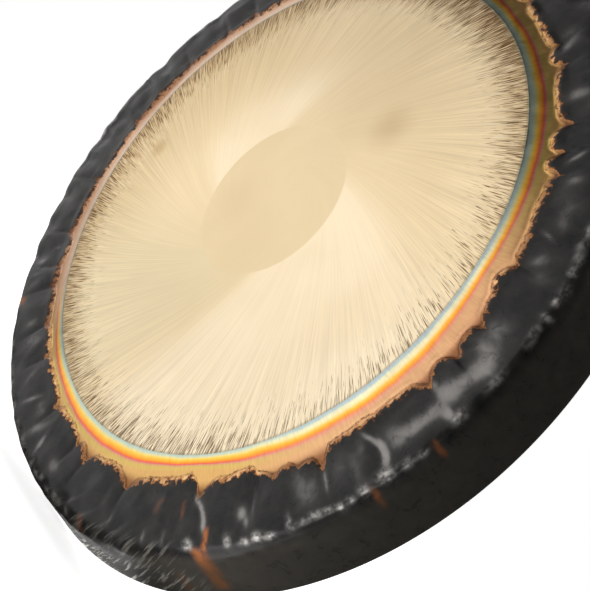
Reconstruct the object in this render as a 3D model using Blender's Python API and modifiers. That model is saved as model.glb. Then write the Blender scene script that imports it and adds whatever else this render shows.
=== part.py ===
"""Hammered plate gong, 610 mm across, hung upright.

One bronze sheet is beaten to a flat striking face, a sloping band, a wide shoulder and a rim wall
that is turned back and flares a little to a bare edge. Two holes near the top of the wall take the
hanging cord, each lined by a rubber grommet.

Metres, +Z up. The face looks along -Y. The origin is the hang point, halfway between the centres
of the two suspension holes.
"""

import math

import bmesh
import bpy
from mathutils import Matrix, Vector

# ---------------------------------------------------------------- driving dimensions (metres)
SHEET = 0.0015            # thickness of the sheet
FACE_R = 0.2200           # bright striking face
CENTRE_R = 0.0694         # circle that the brushing leaves at the middle of the face
BAND_R = 0.2403           # outer edge of the sloping band
BAND_DROP = 0.0064        # how far that edge lies behind the face
SHOULDER_DIP = 0.0072     # valley of the shoulder, just outside the band
SHOULDER_CREST = 0.0060   # crest of the shoulder
CREST_R = 0.2690
CORNER_R = 0.2925         # where the corner has turned into the wall
CORNER_DROP = 0.0160
RIM_R = 0.3050            # back edge of the wall, the object's outer radius
RIM_DEPTH = 0.0517        # back edge behind the face

HOLE_ANGLE = math.radians(20.0)   # each suspension hole from the top of the gong
HOLE_DROP = 0.0330                # hole centre behind the face
HOLE_R = 0.0080

GROMMET_BORE_R = 0.0062
GROMMET_FLANGE_R = 0.0110
GROMMET_FLANGE_T = 0.0019
GROOVE_GAP = 0.00045              # clearance on each side of the sheet, which is slightly curved
GROOVE_RADIAL_GAP = 0.0003

TURN_STEPS = 96                   # facets round the gong
GROMMET_STEPS = 40


def clear_scene():
    for obj in list(bpy.data.objects):
        bpy.data.objects.remove(obj, do_unlink=True)


def new_collection(name):
    made = bpy.data.collections.new(name)
    bpy.context.scene.collection.children.link(made)
    return made


def principled(name, colour, roughness, metallic):
    material = bpy.data.materials.new(name)
    material.use_nodes = True
    shader = material.node_tree.nodes["Principled BSDF"]
    shader.inputs["Base Color"].default_value = (*colour, 1.0)
    shader.inputs["Roughness"].default_value = roughness
    shader.inputs["Metallic"].default_value = metallic
    material.diffuse_color = (*colour, 1.0)
    return material


# ---------------------------------------------------------------- the sheet's section
def front_section():
    """(radius, depth behind the face) of the sheet's front and outer surface, from the axis out."""
    points = [
        (0.0, 0.0),
        (CENTRE_R, 0.0),
        (FACE_R - 0.0016, 0.0),
        (FACE_R + 0.0004, 0.0003),
        (BAND_R, BAND_DROP),
    ]
    # the shoulder: a shallow valley, then a low crest
    valley_r = BAND_R + 0.0085
    points.append((valley_r, SHOULDER_DIP))
    for share in (0.35, 0.7, 1.0):
        rise = 0.5 - 0.5 * math.cos(math.pi * share)
        points.append(
            (
                valley_r + share * (CREST_R - valley_r),
                SHOULDER_DIP + rise * (SHOULDER_CREST - SHOULDER_DIP),
            )
        )
    # the rounded corner: a cubic from the crest's level run into the wall's slope
    wall = Vector((RIM_R - CORNER_R, RIM_DEPTH - CORNER_DROP)).normalized()
    start, end = Vector((CREST_R, SHOULDER_CREST)), Vector((CORNER_R, CORNER_DROP))
    lean = 0.0125
    first = start + Vector((0.0165, 0.0))
    second = end - wall * lean * 0.75
    for i in range(1, 8):
        t = i / 7
        point = (
            start * (1 - t) ** 3
            + first * 3 * t * (1 - t) ** 2
            + second * 3 * t * t * (1 - t)
            + end * t**3
        )
        points.append((point.x, point.y))
    points.append((RIM_R, RIM_DEPTH))
    return points


def offset_section(points, distance):
    """The same section moved back through the sheet, with mitred corners."""
    moved = []
    for i, point in enumerate(points):
        here = Vector(point)
        before = (here - Vector(points[i - 1])).normalized() if i else None
        after = (
            (Vector(points[i + 1]) - here).normalized() if i + 1 < len(points) else None
        )
        before = before or after
        after = after or before
        along = (before + after).normalized()
        half = max(0.2, along.dot(before))
        inward = Vector((-along.y, along.x))
        moved.append(here + inward * (distance / half))
    return moved


def sheet_profile():
    """Closed section, down the outer side first: front surface, back lip, inner surface."""
    outer = front_section()
    inner = offset_section(outer, SHEET)
    inner[0] = Vector((0.0, SHEET))
    # the back lip is cut square to the gong's axis
    slope = (inner[-1] - inner[-2]).normalized()
    inner[-1] = inner[-2] + slope * ((RIM_DEPTH - inner[-2].y) / slope.y)
    return [(r, -d) for r, d in outer] + [(p.x, -p.y) for p in reversed(inner)]


def turned(name, profile, steps, closed, collection):
    """A profile in the XZ plane, turned about Z."""
    mesh = bpy.data.meshes.new(name)
    bm = bmesh.new()
    verts = [bm.verts.new((x, 0.0, z)) for x, z in profile]
    for a, b in zip(verts, verts[1:]):
        bm.edges.new((a, b))
    if closed:
        bm.edges.new((verts[-1], verts[0]))
    bm.to_mesh(mesh)
    bm.free()
    obj = bpy.data.objects.new(name, mesh)
    collection.objects.link(obj)
    screw = obj.modifiers.new("Turn", "SCREW")
    screw.axis = "Z"
    screw.angle = math.tau
    screw.steps = steps
    screw.render_steps = steps
    screw.use_merge_vertices = True
    screw.merge_threshold = 0.00005
    screw.use_smooth_shade = True
    return obj


# ---------------------------------------------------------------- where the holes are
def wall_at(depth):
    """Radius of the wall's outer surface at this depth, and its outward normal (radial, back)."""
    along = Vector((RIM_R - CORNER_R, RIM_DEPTH - CORNER_DROP))
    radius = CORNER_R + along.x * (depth - CORNER_DROP) / along.y
    along.normalize()
    return radius, Vector((along.y, -along.x))


WALL_R, WALL_NORMAL = wall_at(HOLE_DROP)
# the middle of the sheet's thickness, at the hole
HOLE_CENTRE_R = WALL_R - WALL_NORMAL.x * SHEET / 2
HOLE_CENTRE_DROP = HOLE_DROP - WALL_NORMAL.y * SHEET / 2
FACE_CENTRE = Vector((0.0, -HOLE_CENTRE_DROP, -HOLE_CENTRE_R * math.cos(HOLE_ANGLE)))


def hole_frame(side):
    """World centre and outward axis of a suspension hole; side is -1 (left) or +1 (right)."""
    angle = side * HOLE_ANGLE
    radial = Vector((math.sin(angle), 0.0, math.cos(angle)))
    centre = (
        FACE_CENTRE + radial * HOLE_CENTRE_R + Vector((0.0, HOLE_CENTRE_DROP, 0.0))
    )
    axis = radial * WALL_NORMAL.x + Vector((0.0, WALL_NORMAL.y, 0.0))
    return centre, axis


def placed(centre, axis):
    return Matrix.Translation(centre) @ axis.to_track_quat("Z", "Y").to_matrix().to_4x4()


# ---------------------------------------------------------------- pieces
def make_plate(parts, cutters, material):
    plate = turned("gong_plate", sheet_profile(), TURN_STEPS, False, parts)
    plate.location = FACE_CENTRE
    plate.rotation_euler = (math.pi / 2, 0.0, 0.0)
    plate.data.materials.append(material)
    for side, label in ((-1, "left"), (1, "right")):
        bm = bmesh.new()
        bmesh.ops.create_cone(
            bm,
            cap_ends=True,
            segments=GROMMET_STEPS,
            radius1=HOLE_R,
            radius2=HOLE_R,
            depth=0.014,
        )
        mesh = bpy.data.meshes.new("cut_hole_" + label)
        bm.to_mesh(mesh)
        bm.free()
        cutter = bpy.data.objects.new("cut_hole_" + label, mesh)
        cutters.objects.link(cutter)
        cutter.matrix_world = placed(*hole_frame(side))
        cutter.hide_render = True
        cutter.display_type = "WIRE"
        cut = plate.modifiers.new("Hole " + label, "BOOLEAN")
        cut.operation = "DIFFERENCE"
        cut.solver = "EXACT"
        cut.object = cutter
    return plate


def grommet_profile():
    """Closed ring section in metres: a flange on each side of the sheet, and a groove between."""
    half = SHEET / 2 + GROOVE_GAP
    top = half + GROMMET_FLANGE_T
    groove_r = HOLE_R - GROOVE_RADIAL_GAP
    edge = 0.0007
    return [
        (GROMMET_BORE_R + edge, top),
        (GROMMET_FLANGE_R - edge, top),
        (GROMMET_FLANGE_R, top - edge),
        (GROMMET_FLANGE_R, half),
        (groove_r, half),
        (groove_r, -half),
        (GROMMET_FLANGE_R, -half),
        (GROMMET_FLANGE_R, -top + edge),
        (GROMMET_FLANGE_R - edge, -top),
        (GROMMET_BORE_R + edge, -top),
        (GROMMET_BORE_R, -top + edge),
        (GROMMET_BORE_R, top - edge),
    ]


def make_grommet(name, side, parts, material):
    grommet = turned(name, grommet_profile(), GROMMET_STEPS, True, parts)
    grommet.matrix_world = placed(*hole_frame(side))
    grommet.data.materials.append(material)
    return grommet


def main():
    clear_scene()
    parts = new_collection("gong")
    cutters = new_collection("gong_cutters")
    bronze = principled("gong_bronze", (0.80, 0.62, 0.36), 0.35, 1.0)
    rubber = principled("grommet_rubber", (0.02, 0.02, 0.02), 0.7, 0.0)
    make_plate(parts, cutters, bronze)
    make_grommet("grommet_left", -1, parts, rubber)
    make_grommet("grommet_right", 1, parts, rubber)


main()
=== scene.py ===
"""Looks of a hammered plate gong: brushed bronze face, heat-coloured band, blackened hammered rim."""

import math

import bmesh
import bpy
import numpy as np
from mathutils import Matrix, Vector, kdtree


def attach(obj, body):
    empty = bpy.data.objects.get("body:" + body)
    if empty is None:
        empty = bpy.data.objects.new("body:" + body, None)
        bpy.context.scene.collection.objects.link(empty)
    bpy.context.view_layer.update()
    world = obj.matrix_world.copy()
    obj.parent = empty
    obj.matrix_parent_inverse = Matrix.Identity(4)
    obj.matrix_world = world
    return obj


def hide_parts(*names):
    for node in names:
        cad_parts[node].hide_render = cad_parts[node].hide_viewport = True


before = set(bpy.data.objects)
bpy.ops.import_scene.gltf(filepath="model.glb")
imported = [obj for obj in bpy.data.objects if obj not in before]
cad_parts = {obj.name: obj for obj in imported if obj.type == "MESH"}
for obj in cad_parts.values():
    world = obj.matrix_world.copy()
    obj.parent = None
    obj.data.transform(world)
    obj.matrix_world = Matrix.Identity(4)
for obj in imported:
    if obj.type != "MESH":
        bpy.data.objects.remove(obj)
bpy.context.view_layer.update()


# ---------------------------------------------------------------- the sheet, as the solid has it (metres)
SHEET = 0.0015
CENTRE_R = 0.0694
FACE_R = 0.2200
BAND_R = 0.2403
BAND_DROP = 0.0064
SHOULDER_DIP = 0.0072
SHOULDER_CREST = 0.0060
CREST_R = 0.2690
CORNER_R = 0.2925
CORNER_DROP = 0.0160
RIM_R = 0.3050
RIM_DEPTH = 0.0517
HOLE_ANGLE = math.radians(20.0)
HOLE_DROP = 0.0330
HOLE_R = 0.0080
GROMMET_BORE_R = 0.0062
GROMMET_FLANGE_R = 0.0110
GROMMET_FLANGE_T = 0.0019
GROOVE_GAP = 0.00045
GROOVE_RADIAL_GAP = 0.0003

AROUND = 960                 # steps round the gong
SWIRL = 0.066                # the brush strokes follow angle - SWIRL / radius
VIEW_SHIFT = 3.34            # degrees from the gong's own polar angle to the angle used for its details


def wall_at(depth):
    """Radius of the wall's outer surface at this depth, and its outward normal (radial, back)."""
    along = Vector((RIM_R - CORNER_R, RIM_DEPTH - CORNER_DROP))
    radius = CORNER_R + along.x * (depth - CORNER_DROP) / along.y
    along.normalize()
    return radius, Vector((along.y, -along.x))


WALL_R, WALL_NORMAL = wall_at(HOLE_DROP)
HOLE_CENTRE_R = WALL_R - WALL_NORMAL.x * SHEET / 2
HOLE_CENTRE_DROP = HOLE_DROP - WALL_NORMAL.y * SHEET / 2
FACE_CENTRE = Vector((0.0, -HOLE_CENTRE_DROP, -HOLE_CENTRE_R * math.cos(HOLE_ANGLE)))


def hole_frame(side):
    """World centre and outward axis of a suspension hole; side is -1 (left) or +1 (right)."""
    angle = side * HOLE_ANGLE
    radial = Vector((math.sin(angle), 0.0, math.cos(angle)))
    centre = FACE_CENTRE + radial * HOLE_CENTRE_R + Vector((0.0, HOLE_CENTRE_DROP, 0.0))
    axis = radial * WALL_NORMAL.x + Vector((0.0, WALL_NORMAL.y, 0.0))
    return centre, axis


def placed(centre, axis):
    return Matrix.Translation(centre) @ axis.to_track_quat("Z", "Y").to_matrix().to_4x4()


# ---------------------------------------------------------------- small numeric helpers
def step(x, low, high):
    t = np.clip((x - low) / (high - low), 0.0, 1.0)
    return t * t * (3.0 - 2.0 * t)


def bell(x, centre, width):
    return np.exp(-(((x - centre) / width) ** 2))


def wrapped(phi):
    """Degrees brought into -180..180."""
    return (phi + 180.0) % 360.0 - 180.0


def ring_noise(turn, row, cells, rows, seed):
    """Smooth random field in -1..1, periodic in turn (0..1) and free in row (0..1)."""
    rng = np.random.RandomState(seed)
    grid = rng.uniform(-1.0, 1.0, (cells, rows + 3))
    x = (turn % 1.0) * cells
    y = np.clip(row, 0.0, 1.0) * rows
    i, j = np.floor(x).astype(int), np.floor(y).astype(int)
    u, v = x - i, y - j
    u, v = u * u * (3 - 2 * u), v * v * (3 - 2 * v)
    i0, i1 = i % cells, (i + 1) % cells
    low = grid[i0, j] * (1 - u) + grid[i1, j] * u
    high = grid[i0, j + 1] * (1 - u) + grid[i1, j + 1] * u
    return low * (1 - v) + high * v


def round_table(points, angles, smooth=3):
    """A value given at some angles (degrees), read round the whole circle and softened."""
    points = sorted(points)
    at = np.array([p[0] for p in points])
    value = np.array([p[1] for p in points], float)
    read = np.interp(
        angles,
        np.concatenate([at - 360, at, at + 360]),
        np.concatenate([value, value, value]),
    )
    kernel = np.ones(smooth) / smooth
    for _ in range(2):
        read = np.convolve(np.concatenate([read[-smooth:], read, read[:smooth]]), kernel, "same")
        read = read[smooth:-smooth]
    return read


# ---------------------------------------------------------------- the hammered ring
ALPHA = np.arange(AROUND) / AROUND * math.tau        # polar angle about the gong's axis, from +X to +Z
PHI = wrapped(np.degrees(ALPHA) + VIEW_SHIFT)        # degrees
ORDER = np.argsort(PHI)


def by_phi(points, smooth=3):
    """round_table on the ring's own steps."""
    out = np.empty(AROUND)
    out[ORDER] = round_table(points, PHI[ORDER], smooth)
    return out


# edge of the black skin (degrees, mm of radius): lobes of the hammered ring with notches between
EDGE_NEAR = [
    (-84, 240), (-82, 239), (-80, 243), (-78.6, 249), (-77.8, 245), (-76.8, 240.5), (-74.6, 239), (-71.9, 238),
    (-69.2, 237), (-68.3, 239), (-67.6, 241.5), (-66.7, 243.5), (-65.8, 247), (-65.1, 252.5), (-64.4, 247),
    (-63.8, 243.6), (-62.7, 241), (-61.3, 239), (-59.4, 238), (-57.3, 237.3), (-55.1, 236), (-52.9, 234.8),
    (-51.3, 233.2), (-50.2, 232.8), (-49.4, 234.6), (-48.8, 238.5), (-48.3, 244), (-47.8, 250), (-47.1, 246),
    (-46.2, 241), (-45.4, 238), (-44.3, 236.7), (-42.1, 237), (-41.0, 236), (-39.4, 234.6), (-37.2, 234),
    (-36.4, 236), (-35.8, 238.8), (-34.5, 240.4), (-33.3, 243.6), (-32.3, 245), (-31.7, 241.4), (-29.8, 240.2),
    (-28.9, 243.6), (-28.0, 246), (-27.0, 243.4), (-25.5, 243.6), (-24.7, 249), (-24.1, 254), (-23.4, 246),
    (-22.8, 240.2), (-20.5, 239.2), (-17.8, 238.8), (-15.6, 238), (-12.9, 239.4), (-10.2, 239), (-6.9, 239.6),
    (-5.6, 241), (-4.6, 246), (-3.9, 249.5), (-3.0, 243.6), (-1.8, 241), (0.1, 241), (1.1, 247), (1.8, 254),
    (2.7, 246), (4.4, 242), (6.6, 243), (7.7, 248), (8.8, 244), (10.9, 241), (13, 240),
]
NOTCHES_NEAR = [-78.6, -65.1, -47.8, -36.0, -24.1, -4.0, 1.8, 7.8]


def make_edges():
    rng = np.random.RandomState(11)
    points = list(EDGE_NEAR)
    notches = list(NOTCHES_NEAR)
    at = 12.0
    while at < 268.0:
        wide = rng.uniform(4.0, 17.0)
        end = min(at + wide, 276.0)
        top = rng.uniform(236.5, 240.5)
        deep = rng.uniform(243.5, 251.0)
        side = rng.uniform(0.6, 1.2)
        for place, value in ((at + side, top + rng.uniform(1.0, 3.0)), (at + 2.0 * side, top + 0.5),
                             (at + 0.35 * wide, top + rng.uniform(-1.0, 1.0)), (at + 0.6 * wide, top + rng.uniform(-1.5, 1.0)),
                             (end - 1.9 * side, top + rng.uniform(-0.5, 1.0)), (end - 0.8 * side, top + 2.6), (end, deep)):
            points.append((wrapped(min(place, end)), value))
        notches.append(wrapped(end))
        at = end
    return points, sorted(notches)


EDGE_POINTS, NOTCHES = make_edges()
EDGE_R = by_phi(EDGE_POINTS, 1) * 0.001
EDGE_R = 0.5 * EDGE_R + 0.25 * (np.roll(EDGE_R, 1) + np.roll(EDGE_R, -1))
RED_R = by_phi(
    [(-90, 231), (-82, 231.5), (-75, 231), (-65, 229.5), (-55, 227), (-50, 226), (-40, 228), (-35, 229),
     (-25, 231.5), (-15, 232), (-5, 232.5), (0, 232.5), (8, 230), (15, 228.5), (30, 229.5), (50, 231),
     (75, 229), (100, 231), (125, 230), (150, 231), (180, 229.5), (200, 231), (225, 229), (250, 231)],
    9,
) * 0.001


def lobes(phi, bend):
    """0 in the creases between the hammered lobes, up to 1 on top of them, and each lobe's own height."""
    at = phi - bend
    edges = np.array(NOTCHES)
    edges = np.concatenate([edges - 360, edges, edges + 360])
    k = np.clip(np.searchsorted(edges, at, side="right") - 1, 0, len(edges) - 2)
    t = (at - edges[k]) / (edges[k + 1] - edges[k])
    rng = np.random.RandomState(5)
    own = rng.uniform(0.75, 1.25, len(NOTCHES))
    return (4 * t * (1 - t)).clip(0, 1), own[k % len(NOTCHES)]


BUMPS = [
    # phi, radius, height (mm), half-width across (mm), half-width along the radius (mm)
    (-40.0, 253, 0.9, 10, 9),
    (-43.0, 247, 0.6, 6, 6),
    (-38.5, 268, -0.9, 5, 6),
    (-31.0, 258, 0.9, 7, 16),
    (-35.5, 255, -0.7, 5, 10),
    (-27.5, 256, 0.6, 7, 10),
    (-20.5, 262, -0.6, 8, 9),
    (-15.0, 268, -0.9, 5, 14),
    (-17.5, 275, 0.8, 6, 7),
    (-12.0, 262, 0.5, 8, 10),
    (-8.0, 256, 1.2, 9, 8),
    (-8.5, 278, 1.0, 11, 5),
    (-3.0, 268, -0.8, 10, 8),
    (0.5, 256, 1.1, 8, 8),
    (-1.0, 281, 0.9, 8, 4),
    (-53.5, 256, 1.1, 22, 10),
    (-60.0, 262, 0.7, 16, 9),
    (-57.0, 272, -0.9, 12, 6),
    (-70.0, 256, 0.8, 14, 10),
    (-64.5, 274, 0.9, 12, 7),
    (-45.5, 278, -1.0, 8, 7),
    (-50.5, 270, -0.6, 6, 8),
]


def displacement(alpha, radius, along):
    """How far the hammered sheet stands off the smooth section, in metres.

    radius is the smooth section's, along the distance over the surface from the face's edge.
    """
    phi = wrapped(np.degrees(alpha) + VIEW_SHIFT)
    turn = (alpha / math.tau) % 1.0
    r = radius * 1000.0
    s = along * 1000.0
    edge = np.interp(turn, np.arange(AROUND + 1) / AROUND, np.append(EDGE_R, EDGE_R[0])) * 1000.0
    # creases run outwards from the notches on slightly bent paths
    lean = ring_noise(turn, np.zeros_like(turn), 23, 1, 41) * 0.06
    bend = lean * np.clip(r - 246.0, -6.0, 40.0) + 3.0 * bell(phi, -45.5, 5.0) * step(r, 249.0, 268.0)
    pillow, own = lobes(phi, bend)
    soften = step(s, 34.0, 62.0)
    puff = pillow ** 0.38 * (1 - soften) + (0.50 + 0.50 * pillow ** 0.7) * soften
    rise = step(r, edge - 1.8, edge + 3.4)
    fall = 1.0 - 0.62 * step(s, 34.0, 60.0) - 0.38 * step(s, 60.0, 76.0)
    out = 2.3 * own * puff * rise * fall
    # the little trough that the hammer leaves in front of the lobes
    out -= 0.16 * bell(r, edge - 2.2, 1.5) * (s < 40)
    # folds and dents of the shoulder
    on_shoulder = step(s, 20.0, 30.0) * (1 - step(s, 64.0, 74.0))
    wob = ring_noise(turn, s / 130.0, 60, 9, 77) * 0.0036
    folds = ring_noise(turn + wob, s / 130.0, 66, 4, 3)
    folds = 0.55 - np.abs(folds) * 1.8
    dents = ring_noise(turn - 0.7 * wob, s / 130.0, 92, 8, 14)
    fine = ring_noise(turn - wob, s / 130.0, 190, 11, 8)
    out += on_shoulder * (0.62 * folds + 0.42 * dents + 0.17 * fine)
    wrinkle = ring_noise(turn + 0.5 * wob, s / 130.0, 300, 7, 19)
    out += 0.16 * wrinkle * bell(r, edge + 5.0, 8.0) * (s < 50)
    # hammer facets on the corner
    corner = step(s, 54.0, 62.0) * (1 - step(s, 76.0, 88.0))
    facets = ring_noise(turn + 0.4 * wob, s / 130.0, 178, 14, 21)
    big = ring_noise(turn, s / 130.0, 62, 7, 23)
    out += corner * (0.42 * facets + 0.60 * big)
    # a pinched ridge at the turn, scalloped by the hammer, and the groove under it
    scallop = 0.55 + 0.45 * ring_noise(turn + 0.3 * wob, np.zeros_like(turn), 180, 1, 27)
    scallop *= 1.0 - bell(phi, -68.0, 16.0)
    out += 0.75 * bell(s, 66.0, 3.4) * scallop - 0.55 * bell(s, 72.5, 2.4) * (1.0 - bell(phi, -68.0, 16.0))
    # shallow flutes of the wall
    wall = step(s, 76.0, 88.0) * (1 - 0.7 * step(s, 104.0, 112.0))
    flutes = ring_noise(turn + 0.8 * wob, s / 130.0, 140, 4, 31)
    slow = ring_noise(turn, s / 130.0, 40, 3, 32)
    out += wall * (0.16 * flutes + 0.30 * slow)
    # the corner is fuller low on the left
    full = bell(phi, -68.0, 13.0)
    out += full * step(s, 48.0, 66.0) * (1 - step(s, 84.0, 104.0)) * 1.6
    for at, mid, height, across, deep in BUMPS:
        away = wrapped(phi - at) * math.pi / 180.0 * r
        out += height * np.exp(-((away / across) ** 2) - ((r - mid) / deep) ** 2) * (s < 76)
    # bites of the hammer seen in the outline on the far side
    for at, deep in ((162, 1.6), (167, 0.7), (176, 1.7), (181, 1.1), (190, 1.9), (195, 1.5), (200, 1.2),
                     (208, 1.4), (215, 1.0), (150, 1.2), (141, 1.4), (133, 0.9), (222, 1.5)):
        away = wrapped(phi - at) * math.pi / 180.0 * r
        out -= 1.5 * deep * np.exp(-((away / 8.0) ** 2) - ((s - 58.0) / 16.0) ** 2)
    out -= 0.9 * bell(phi, 178.0, 42.0) * bell(s, 62.0, 13.0)
    out *= step(s, 0.0, 14.0) * (1 - 0.75 * step(s, 108.0, 114.5))
    return out * 0.001


# ---------------------------------------------------------------- the smooth section
def smooth_section():
    """Points (radius, depth), unit normals and arc lengths of the front and outer surface from the face's edge."""
    raw = [(FACE_R, 0.00018)]
    for share in (0.25, 0.5, 0.75, 1.0):
        raw.append((FACE_R + share * (BAND_R - FACE_R), 0.0003 + share * (BAND_DROP - 0.0003)))
    valley = BAND_R + 0.0085
    raw.append((valley, SHOULDER_DIP))
    for share in (0.25, 0.5, 0.75, 1.0):
        rise = 0.5 - 0.5 * math.cos(math.pi * share)
        raw.append((valley + share * (CREST_R - valley), SHOULDER_DIP + rise * (SHOULDER_CREST - SHOULDER_DIP)))
    wall = Vector((RIM_R - CORNER_R, RIM_DEPTH - CORNER_DROP)).normalized()
    start, end = Vector((CREST_R, SHOULDER_CREST)), Vector((CORNER_R, CORNER_DROP))
    first, second = start + Vector((0.0165, 0.0)), end - wall * 0.0125 * 0.75
    for i in range(1, 13):
        t = i / 12
        p = start * (1 - t) ** 3 + first * 3 * t * (1 - t) ** 2 + second * 3 * t * t * (1 - t) + end * t**3
        raw.append((p.x, p.y))
    for share in (0.25, 0.5, 0.75, 1.0):
        raw.append((CORNER_R + share * (RIM_R - CORNER_R), CORNER_DROP + share * (RIM_DEPTH - CORNER_DROP)))
    raw = np.array(raw)
    length = np.concatenate([[0], np.cumsum(np.linalg.norm(np.diff(raw, axis=0), axis=1))])
    fine = np.linspace(0, length[-1], 1200)
    line = np.stack([np.interp(fine, length, raw[:, k]) for k in range(2)], 1)
    # soften the bends a little, but keep both ends
    width = 41
    kernel = np.hanning(width)
    kernel /= kernel.sum()
    pad = width // 2
    soft = line.copy()
    for k in range(2):
        head = 2 * line[0, k] - line[pad:0:-1, k]
        tail = 2 * line[-1, k] - line[-2:-pad - 2:-1, k]
        soft[:, k] = np.convolve(np.concatenate([head, line[:, k], tail]), kernel, "valid")
    tangent = np.gradient(soft, axis=0)
    tangent /= np.linalg.norm(tangent, axis=1)[:, None]
    normal = np.stack([tangent[:, 1], -tangent[:, 0]], 1)     # (radial, back) pointing out of the sheet
    return soft, normal, fine


LINE, NORMAL, LENGTH = smooth_section()
S_END = LENGTH[-1]


def section_at(s):
    p = np.stack([np.interp(s, LENGTH, LINE[:, k]) for k in range(2)], -1)
    n = np.stack([np.interp(s, LENGTH, NORMAL[:, k]) for k in range(2)], -1)
    return p, n / np.linalg.norm(n, axis=-1)[..., None]


def ring_points(radius, depth, alpha):
    """World points from radius, depth behind the face and polar angle."""
    return np.stack(
        [
            FACE_CENTRE.x + radius * np.cos(alpha),
            FACE_CENTRE.y + depth,
            FACE_CENTRE.z + radius * np.sin(alpha),
        ],
        -1,
    )


def skin(name, rings, sharp, closed):
    """A mesh from rings of points (ring, step, xyz). closed joins the last ring to the first.

    sharp holds the numbers of the rings whose edges stay sharp.
    """
    count, around = rings.shape[:2]
    verts = rings.reshape(-1, 3)
    faces = []
    here = np.arange(around)
    nxt = (here + 1) % around
    pairs = [(k, k + 1) for k in range(count - 1)] + ([(count - 1, 0)] if closed else [])
    for a, b in pairs:
        faces.append(np.stack([a * around + here, b * around + here, b * around + nxt, a * around + nxt], 1))
    faces = np.concatenate(faces)
    mesh = bpy.data.meshes.new(name)
    mesh.from_pydata(verts.tolist(), [], faces.tolist())
    mesh.update()
    obj = bpy.data.objects.new(name, mesh)
    bpy.context.scene.collection.objects.link(obj)
    for poly_smooth in (True,):
        mesh.polygons.foreach_set("use_smooth", [poly_smooth] * len(mesh.polygons))
    wanted = np.zeros(count, bool)
    wanted[list(sharp)] = True
    ends = np.empty(len(mesh.edges) * 2, int)
    mesh.edges.foreach_get("vertices", ends)
    ends = ends.reshape(-1, 2) // around
    flag = (ends[:, 0] == ends[:, 1]) & wanted[np.minimum(ends[:, 0], count - 1)]
    layer = mesh.attributes.new("sharp_edge", "BOOLEAN", "EDGE")
    layer.data.foreach_set("value", flag)
    return obj


# ---------------------------------------------------------------- gong_face: the bright disc
def make_face():
    alpha = ALPHA[None, :]
    turn = alpha / math.tau
    front_r = np.concatenate([[0.0012, 0.004, 0.009], np.linspace(0.015, FACE_R - 0.004, 34),
                              [FACE_R - 0.0022, FACE_R - 0.0010, FACE_R]])
    back_r = np.concatenate([[FACE_R - 0.0002], np.linspace(FACE_R - 0.004, 0.015, 26), [0.006, 0.0012]])
    rows = []
    for r in front_r:
        fade = float(step(np.array(r), 0.006, 0.03) * (1 - step(np.array(r), FACE_R - 0.010, FACE_R - 0.001)))
        a = np.broadcast_to(alpha[0], (AROUND,))
        x, z = r * np.cos(a), r * np.sin(a)
        # very shallow planishing
        wave = (np.sin(x * 61 + 1.3 * np.sin(z * 37)) * np.cos(z * 53 + 0.9 * np.sin(x * 29 + 1.0))) * 0.00006
        edge = 0.00018 * float(step(np.array(r), FACE_R - 0.0024, FACE_R))
        rows.append(ring_points(np.full(AROUND, r), edge + wave * fade, a))
    for r in back_r:
        a = alpha[0]
        x, z = r * np.cos(a), r * np.sin(a)
        fade = float(step(np.array(r), 0.006, 0.03) * (1 - step(np.array(r), FACE_R - 0.010, FACE_R - 0.001)))
        dent = ring_noise(turn[0], np.full(AROUND, r / FACE_R), 34, 9, 61) * 0.00022
        dent = dent + (np.sin(x * 97 + 2 * np.sin(z * 71)) * np.cos(z * 89)) * 0.00014
        rows.append(ring_points(np.full(AROUND, r), SHEET + np.abs(dent) * fade * 0.8, a))
    rings = np.stack(rows)
    obj = skin("gong_face", rings, {len(front_r) - 1, len(front_r)}, False)
    bm = bmesh.new()
    bm.from_mesh(obj.data)
    bm.verts.ensure_lookup_table()
    # close both middles
    both = [[bm.verts[first * AROUND + k] for k in range(AROUND)] for first in (0, len(rows) - 1)]
    for ring, depth, flip in ((both[0], 0.0, False), (both[1], SHEET, True)):
        mid = bm.verts.new(tuple(FACE_CENTRE + Vector((0.0, depth, 0.0))))
        for k in range(AROUND):
            a, b = ring[k], ring[(k + 1) % AROUND]
            f = bm.faces.new((mid, a, b) if not flip else (mid, b, a))
            f.smooth = True
    bmesh.ops.recalc_face_normals(bm, faces=bm.faces)
    bm.to_mesh(obj.data)
    bm.free()
    return obj


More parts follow.
